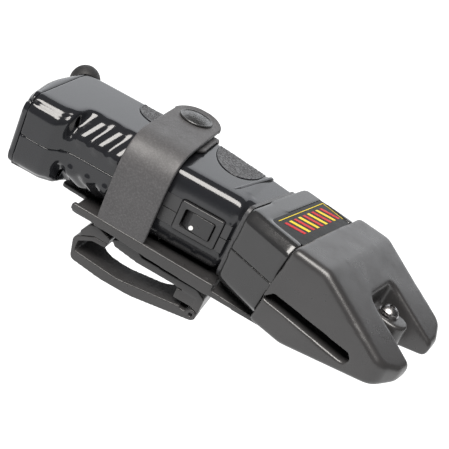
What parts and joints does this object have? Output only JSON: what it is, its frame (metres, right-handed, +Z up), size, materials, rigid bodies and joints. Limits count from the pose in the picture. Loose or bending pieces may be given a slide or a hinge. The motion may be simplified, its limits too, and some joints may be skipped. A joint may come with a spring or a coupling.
{
  "type": "firefighter flashlight",
  "caption": "Firefighter's rescue torch with rocker switch, bent forked head, hardened tongue screw and seat-belt slot, strapped in a holder with a belt clip.",
  "frame": {"origin": "under the middle of the whole object's box, on the plane of the belt clip's lowest face", "axes": "+X along the grip from the lamp to the forked head, +Z up from the belt clip to the strap's snap, -Y towards the switch"},
  "size_m": [0.2084, 0.0875, 0.0735],
  "materials": {
    "gloss_black": "gloss moulded",
    "satin_black": "satin moulded",
    "holder_black": "satin moulded",
    "strap_rubber": "matt, fine grain",
    "pad_rubber": "pebbled",
    "snap_black": "satin paint",
    "bright_chrome": "polished",
    "steel": "zinc plated",
    "contact_brass": "plated",
    "switch_black": "semi-gloss",
    "white_mark": "printed",
    "label_face": "printed film",
    "clear_lens": "clear",
    "silver_mirror": "metallised",
    "led_white": "silicone dome",
    "board_green": "lacquered board",
    "cell_jacket": "foil wrap",
    "tray_plastic": "moulded"
  },
  "bodies": {
    "torch": {"back_pad": "pad_rubber", "battery_cell_1": "cell_jacket", "battery_cell_2": "cell_jacket", "battery_cell_3": "cell_jacket", "battery_cell_4": "cell_jacket", "battery_tray": "tray_plastic", "clip_bolts": "steel", "clip_pin": "steel", "clip_plate": "holder_black", "clip_spring": "steel", "contact_plates": "contact_brass", "contact_springs": "steel", "cradle": "holder_black", "cutter_blade": "steel", "head_cap": "satin_black", "head_screws": "steel", "head_spigot": "satin_black", "label_badge": "label_face", "lamp_bumper": "pad_rubber", "led_board": "board_green", "led_emitter": "led_white", "lens": "clear_lens", "lens_bezel": "gloss_black", "lens_seal": "pad_rubber", "lower_shell": "gloss_black", "neck_seal": "pad_rubber", "reflector": "silver_mirror", "rocker_pin": "steel", "shell_screws": "steel", "sleeve_lower": "satin_black", "sleeve_upper": "satin_black", "snap_socket": "bright_chrome", "strap_root": "strap_rubber", "strap_short": "strap_rubber", "switch_frame": "switch_black", "switch_terminals": "contact_brass", "thumb_pad": "pad_rubber", "tongue_screw": "bright_chrome", "tongue_washer": "bright_chrome", "upper_shell": "gloss_black"},
    "switch_rocker": {"rocker": "switch_black", "rocker_dot": "white_mark"},
    "clip_leg": {"clip_arm": "holder_black", "clip_catch": "holder_black"},
    "strap": {"strap_long": "strap_rubber", "snap_cap": "snap_black", "snap_stud": "bright_chrome"}
  },
  "joints": [
    {"name": "rocker_turn", "type": "hinge", "parent": "torch", "child": "switch_rocker", "pos_m": [-0.0089, -0.0136, 0.047], "axis": [0, 0, 1], "range_deg": [0, 12]},
    {"name": "clip_open", "type": "hinge", "parent": "torch", "child": "clip_leg", "pos_m": [0.0054, 0.007, 0.0076], "axis": [0, -1, 0], "range_deg": [0, 12], "stiffness_Nm_per_rad": 1.5, "springref_deg": -6.88},
    {"name": "strap_open", "type": "hinge", "parent": "torch", "child": "strap", "pos_m": [-0.0382, -0.0204, 0.0304], "axis": [1, 0, 0], "range_deg": [0, 100]}
  ]
}
